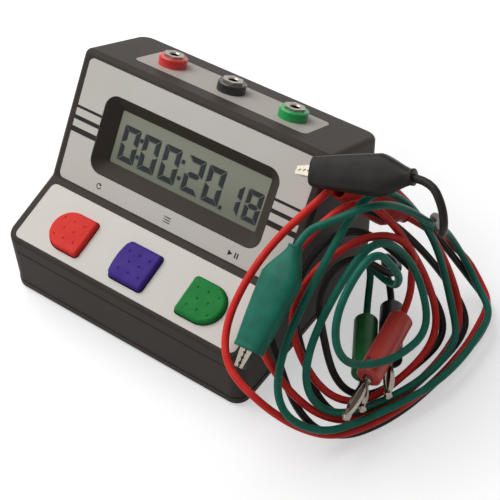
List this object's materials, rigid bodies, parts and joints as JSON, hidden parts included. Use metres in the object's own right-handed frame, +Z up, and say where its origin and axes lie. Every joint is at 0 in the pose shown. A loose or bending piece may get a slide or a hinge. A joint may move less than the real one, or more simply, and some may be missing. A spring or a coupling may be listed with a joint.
{
  "type": "benchtop timer",
  "caption": "Wedge-shaped benchtop timer with a steep LCD face, coloured keys, sockets on its roof, and coiled clip leads beside it.",
  "frame": {"origin": "middle of the timer's footprint at bench height", "axes": "+X to the right along the timer's width, +Y to its back, +Z up"},
  "size_m": [0.1847, 0.1195, 0.1056],
  "materials": {
    "case": "moulded, fine matt texture",
    "label": "satin silver-grey printed sheet",
    "socket_label": "satin grey printed sheet",
    "lcd": "grey-green reflective display",
    "holder": "black moulded",
    "elastomer": "conductive strip",
    "silicone": "milky silicone",
    "board": "green circuit board",
    "chip": "black moulded",
    "steel": "bright zinc-plated",
    "nickel": "nickel-plated brass",
    "key_red": "satin red",
    "key_blue": "satin violet-blue",
    "key_green": "satin green",
    "socket_red": "gloss red",
    "socket_black": "gloss black",
    "socket_green": "gloss green",
    "foot_rubber": "soft black rubber",
    "cell": "printed sleeve",
    "vinyl_red": "soft red vinyl",
    "vinyl_black": "soft black vinyl",
    "vinyl_green": "soft teal vinyl",
    "plug_red": "red moulded",
    "plug_black": "black moulded",
    "plug_green": "dark green moulded"
  },
  "bodies": {
    "timer": {"case_top": "case", "case_base": "case", "rubber_feet": "foot_rubber", "case_screws": "steel", "keypad_label": "label", "display_label": "label", "socket_label": "socket_label", "lcd_panel": "lcd", "lcd_holder": "holder", "lcd_contact_strips": "elastomer", "display_board": "board", "display_board_screws": "steel", "timer_chip": "chip", "quartz_crystal": "steel", "key_mat": "silicone", "key_board": "board", "key_board_screws": "steel", "aa_cells": "cell", "battery_contacts": "nickel", "socket_collar_red": "socket_red", "socket_collar_black": "socket_black", "socket_collar_green": "socket_green", "socket_inserts": "nickel", "socket_nuts": "holder", "socket_tags": "nickel", "socket_wires": "vinyl_black", "clip_pins": "nickel", "clip_springs": "steel", "plug_screws": "steel", "clip_lower_red": "nickel", "boot_red": "vinyl_red", "cord_front_red": "vinyl_red", "coil_red": "vinyl_red", "cord_rear_red": "vinyl_red", "plug_body_red": "plug_red", "plug_pin_red": "nickel", "clip_lower_black": "nickel", "boot_black": "vinyl_black", "cord_front_black": "vinyl_black", "coil_black": "vinyl_black", "cord_rear_black": "vinyl_black", "plug_body_black": "plug_black", "plug_pin_black": "nickel", "clip_lower_green": "nickel", "boot_green": "vinyl_green", "cord_front_green": "vinyl_green", "coil_green": "vinyl_green", "cord_rear_green": "vinyl_green", "plug_body_green": "plug_green", "plug_pin_green": "nickel"},
    "battery_door": {"battery_door": "case"},
    "key_red": {"key_red": "key_red"},
    "key_blue": {"key_blue": "key_blue"},
    "key_green": {"key_green": "key_green"},
    "jaw_red": {"clip_upper_red": "nickel"},
    "jaw_black": {"clip_upper_black": "nickel"},
    "jaw_green": {"clip_upper_green": "nickel"}
  },
  "joints": [
    {"name": "battery_door_slide", "type": "slide", "parent": "timer", "child": "battery_door", "axis": [0, 1, 0], "range_m": [0, 0.052]},
    {"name": "key_red_press", "type": "slide", "parent": "timer", "child": "key_red", "axis": [0, 0.2924, -0.9563], "range_m": [0, 0.0012], "stiffness_N_per_m": 400, "deforming": ["key_mat"]},
    {"name": "key_blue_press", "type": "slide", "parent": "timer", "child": "key_blue", "axis": [0, 0.2924, -0.9563], "range_m": [0, 0.0012], "stiffness_N_per_m": 400, "deforming": ["key_mat"]},
    {"name": "key_green_press", "type": "slide", "parent": "timer", "child": "key_green", "axis": [0, 0.2924, -0.9563], "range_m": [0, 0.0012], "stiffness_N_per_m": 400, "deforming": ["key_mat"]},
    {"name": "clip_red_jaw", "type": "hinge", "parent": "timer", "child": "jaw_red", "pos_m": [0.07134, 0.02385, 0.06287], "axis": [0.927, -0.3033, 0.2208], "range_deg": [0, 20], "stiffness_Nm_per_rad": 0.03, "deforming": ["boot_red", "clip_springs"]},
    {"name": "clip_black_jaw", "type": "hinge", "parent": "timer", "child": "jaw_black", "pos_m": [0.07581, 0.00413, 0.09435], "axis": [0.2245, 0.6477, -0.7281], "range_deg": [0, 20], "stiffness_Nm_per_rad": 0.03, "deforming": ["boot_black", "clip_springs"]},
    {"name": "clip_green_jaw", "type": "hinge", "parent": "timer", "child": "jaw_green", "pos_m": [0.06803, -0.04039, 0.06113], "axis": [-0.0321, -0.5278, 0.8488], "range_deg": [0, 20], "stiffness_Nm_per_rad": 0.03, "deforming": ["boot_green", "clip_springs"]}
  ]
}
